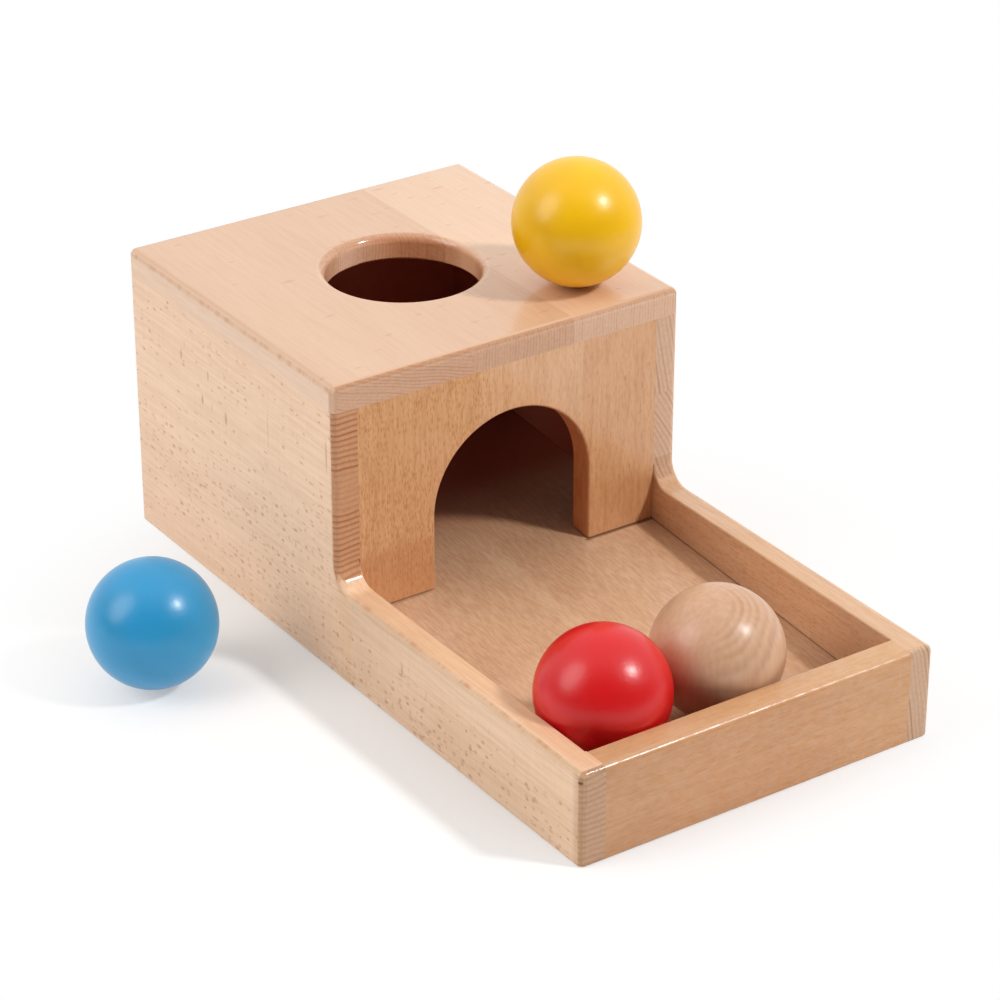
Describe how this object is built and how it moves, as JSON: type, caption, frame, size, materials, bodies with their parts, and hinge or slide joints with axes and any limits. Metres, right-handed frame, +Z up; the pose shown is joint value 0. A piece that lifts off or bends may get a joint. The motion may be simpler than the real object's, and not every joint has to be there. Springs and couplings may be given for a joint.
{
  "type": "wooden ball drop box",
  "caption": "Wooden toy box with a round hole in its top, a sloping floor and an arched doorway, through which dropped balls roll into a low open tray.",
  "frame": {"origin": "on the ground, under the middle of the front rail, on the toy's middle plane", "axes": "+Z up, +Y from the tray towards the back of the house, +X to the right as seen from the tray"},
  "size_m": [0.2165, 0.278, 0.1538],
  "materials": {
    "beech_side": "pale beech, clear satin lacquer",
    "beech_top": "pale beech, clear satin lacquer",
    "beech_front": "warmer beech, clear satin lacquer",
    "plywood": "thin plywood, clear satin lacquer",
    "dowel_wood": "raw beech",
    "turned_wood": "turned wood, clear satin lacquer",
    "paint_yellow": "satin gloss paint",
    "paint_blue": "satin gloss paint",
    "paint_red": "satin gloss paint"
  },
  "bodies": {
    "box": {"left_side": "beech_side", "right_side": "beech_side", "top_panel": "beech_top", "arch_panel": "beech_front", "back_panel": "beech_side", "front_rail": "beech_front", "floor_panel": "plywood", "top_dowels_left": "dowel_wood", "top_dowels_right": "dowel_wood", "top_dowels_arch": "dowel_wood", "top_dowels_back": "dowel_wood", "arch_dowels_left": "dowel_wood", "arch_dowels_right": "dowel_wood", "back_dowels_left": "dowel_wood", "back_dowels_right": "dowel_wood", "rail_dowels_left": "dowel_wood", "rail_dowels_right": "dowel_wood"},
    "yellow_ball": {"ball_yellow": "paint_yellow"},
    "blue_ball": {"ball_blue": "paint_blue"},
    "red_ball": {"ball_red": "paint_red"},
    "natural_ball": {"ball_natural": "turned_wood"}
  },
  "joints": [
    {"name": "yellow_roll", "type": "slide", "parent": "box", "child": "yellow_ball", "axis": [-0.689, 0.7248, 0], "range_m": [0, 0.06147]},
    {"name": "blue_roll", "type": "slide", "parent": "box", "child": "blue_ball", "axis": [1, 0, 0], "range_m": [-0.06, 0.0302]},
    {"name": "red_roll", "type": "slide", "parent": "box", "child": "red_ball", "axis": [0, 0.9976, 0.0698], "range_m": [0, 0.08536]},
    {"name": "natural_roll", "type": "slide", "parent": "box", "child": "natural_ball", "axis": [0, 0.9976, 0.0698], "range_m": [0, 0.21267]}
  ]
}
